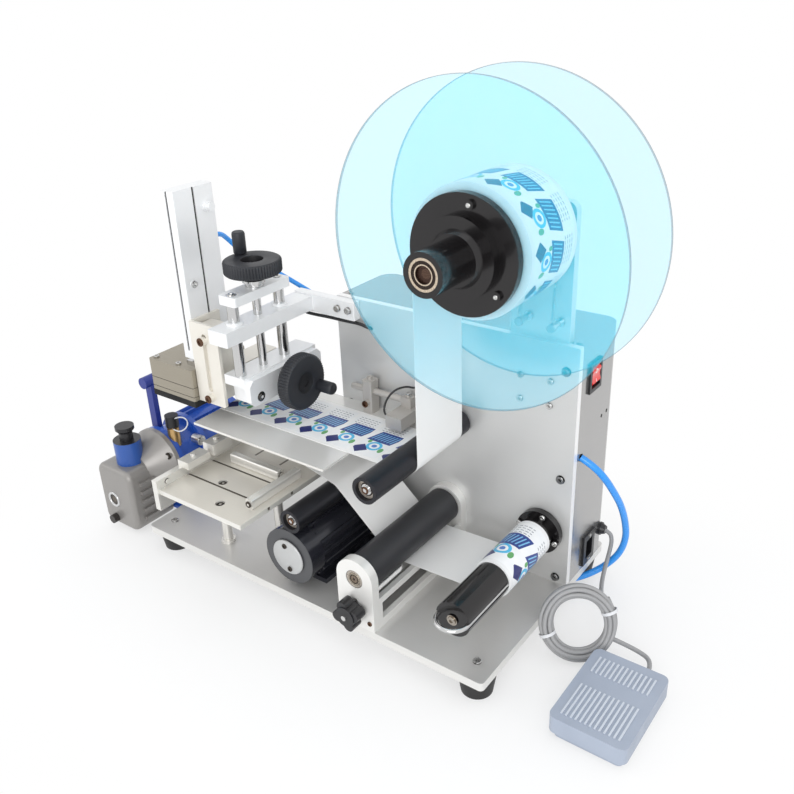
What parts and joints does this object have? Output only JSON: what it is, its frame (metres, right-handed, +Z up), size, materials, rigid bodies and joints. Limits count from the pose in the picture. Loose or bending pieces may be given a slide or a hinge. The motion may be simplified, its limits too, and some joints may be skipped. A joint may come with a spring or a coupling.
{
  "type": "flat surface labeling machine",
  "caption": "Bench labeling machine for flat goods: a reel feeds labels to a peel plate and a suction head presses each one on the goods; with foot pedal and vacuum pump.",
  "frame": {"origin": "on the table top, under the middle of the machine with its pump and pedal", "axes": "+Z up, +X to the machine's right, +Y to its back"},
  "size_m": [0.754, 0.331, 0.597],
  "materials": {
    "brushed_steel": "brushed",
    "cover_steel": "brushed",
    "polished_steel": "polished",
    "aluminium": "satin",
    "black_anodised": "satin",
    "chrome": "polished",
    "steel_roller": "polished",
    "rubber": "matte",
    "roller_rubber": "matte",
    "clear_disc": "polished",
    "paper": "matte",
    "black_plastic": "satin",
    "red_plastic": "glossy",
    "blue_hose": "glossy",
    "grey_cable": "matte",
    "motor_paint": "satin",
    "pump_blue": "satin",
    "pump_grey": "satin",
    "pedal_grey": "satin",
    "foam": "matte",
    "brass": "satin"
  },
  "bodies": {
    "stand": {"base_plate": "brushed_steel", "rubber_feet": "rubber", "main_panel": "brushed_steel", "box_shell": "cover_steel", "box_cover": "cover_steel", "power_supply": "aluminium", "reel_stand": "aluminium", "reel_brake": "chrome", "axles_bearings": "chrome", "nip_brackets": "aluminium", "nip_axle": "polished_steel", "drive_motor": "motor_paint", "peel_plate": "polished_steel", "label_web": "paper", "sensor_post": "aluminium", "table_plate": "aluminium", "table_rail": "aluminium", "head_arm": "aluminium", "power_fittings": "black_plastic", "cable_gland": "black_plastic", "air_hose": "blue_hose", "foot_cable": "grey_cable", "cable_coil": "grey_cable", "pedal_base": "pedal_grey", "pedal_spring": "chrome", "pump_base": "pump_grey", "pump_motor": "pump_blue", "pump_oil_case": "pump_grey", "pump_handle": "pump_grey", "pump_fittings": "brass"},
    "reel": {"reel_shaft": "chrome", "reel_hub": "black_anodised", "reel_discs": "clear_disc", "label_roll": "paper", "hub_nose": "black_anodised"},
    "upper_guide": {"upper_guide_roller": "black_anodised"},
    "lower_guide": {"lower_guide_roller": "black_anodised"},
    "drive": {"drive_roller": "roller_rubber", "drive_shaft": "polished_steel"},
    "nip": {"nip_roller": "steel_roller"},
    "nip_clamp": {"nip_knob": "black_plastic"},
    "rewinder": {"rewind_mandrel": "black_anodised", "rewound_paper": "paper"},
    "clip": {"rewind_clip": "chrome"},
    "sensor": {"web_sensor": "black_plastic"},
    "stop_x": {"stop_bar_x": "aluminium"},
    "stop_y": {"stop_bar_y": "aluminium"},
    "lift": {"lift_plates": "aluminium", "guide_posts": "chrome"},
    "lift_drive": {"lift_screw": "chrome", "lift_handwheel": "black_plastic"},
    "carriage": {"cross_carriage": "aluminium", "slotted_bracket": "aluminium", "air_cylinder": "aluminium"},
    "cross_drive": {"cross_handwheel": "black_plastic"},
    "suction": {"piston_rods": "chrome", "suction_box": "aluminium", "foam_pad": "foam"},
    "switch": {"rocker": "red_plastic"},
    "treadle": {"pedal_treadle": "pedal_grey"}
  },
  "joints": [
    {"name": "reel_spin", "type": "hinge", "parent": "stand", "child": "reel", "pos_m": [0.167, 0.0225, 0.447], "axis": [0, 1, 0], "continuous": true},
    {"name": "upper_guide_spin", "type": "hinge", "parent": "stand", "child": "upper_guide", "pos_m": [0.089, 0.0225, 0.21], "axis": [0, 1, 0], "continuous": true},
    {"name": "lower_guide_spin", "type": "hinge", "parent": "stand", "child": "lower_guide", "pos_m": [-0.02, 0.0225, 0.132], "axis": [0, 1, 0], "continuous": true},
    {"name": "drive_spin", "type": "hinge", "parent": "stand", "child": "drive", "pos_m": [0.072, 0.0225, 0.097], "axis": [0, 1, 0], "continuous": true},
    {"name": "nip_spin", "type": "hinge", "parent": "stand", "child": "nip", "pos_m": [0.072, 0.0225, 0.0595], "axis": [0, 1, 0], "continuous": true},
    {"name": "nip_knob_turn", "type": "hinge", "parent": "stand", "child": "nip_clamp", "pos_m": [0.072, 0.0225, 0.0595], "axis": [0, 1, 0], "continuous": true},
    {"name": "rewind_spin", "type": "hinge", "parent": "stand", "child": "rewinder", "pos_m": [0.196, 0.0225, 0.102], "axis": [0, 1, 0], "continuous": true},
    {"name": "clip_slide", "type": "slide", "parent": "rewinder", "child": "clip", "axis": [0, -1, 0], "range_m": [0, 0.165]},
    {"name": "sensor_slide", "type": "slide", "parent": "stand", "child": "sensor", "axis": [1, 0, 0], "range_m": [-0.004, 0.015]},
    {"name": "stop_x_slide", "type": "slide", "parent": "stand", "child": "stop_x", "axis": [0, 1, 0], "range_m": [-0.035, 0.01]},
    {"name": "stop_y_slide", "type": "slide", "parent": "stand", "child": "stop_y", "axis": [1, 0, 0], "range_m": [-0.005, 0.008]},
    {"name": "lift_slide", "type": "slide", "parent": "stand", "child": "lift", "axis": [0, 0, 1], "range_m": [-0.012, 0.018]},
    {"name": "lift_wheel_turn", "type": "hinge", "parent": "lift", "child": "lift_drive", "pos_m": [-0.128, -0.0245, 0.38], "axis": [0, 0, 1], "range_deg": [-2170, 3250]},
    {"name": "cross_slide", "type": "slide", "parent": "lift", "child": "carriage", "axis": [1, 0, 0], "range_m": [-0.008, 0.004]},
    {"name": "cross_wheel_turn", "type": "hinge", "parent": "lift", "child": "cross_drive", "pos_m": [-0.094, -0.0075, 0.244], "axis": [1, 0, 0], "range_deg": [-1450, 730]},
    {"name": "suction_stroke", "type": "slide", "parent": "carriage", "child": "suction", "axis": [0, 0, -1], "range_m": [0, 0.06]},
    {"name": "switch_rock", "type": "hinge", "parent": "stand", "child": "switch", "pos_m": [0.221, 0.1025, 0.286], "axis": [0, 1, 0], "range_deg": [-7, 7]},
    {"name": "treadle_press", "type": "hinge", "parent": "stand", "child": "treadle", "pos_m": [0.337, -0.0185, 0.015], "axis": [1, 0, 0], "range_deg": [0, 4], "stiffness_Nm_per_rad": 6, "springref_deg": -3.44, "deforming": ["pedal_spring"]}
  ],
  "couplings": [
    {"joint": "nip_spin", "follows": "drive_spin", "ratio": -1.3125},
    {"joint": "lift_wheel_turn", "follows": "lift_slide", "rad_per_m": 3141.6},
    {"joint": "cross_wheel_turn", "follows": "cross_slide", "rad_per_m": 3141.6}
  ]
}
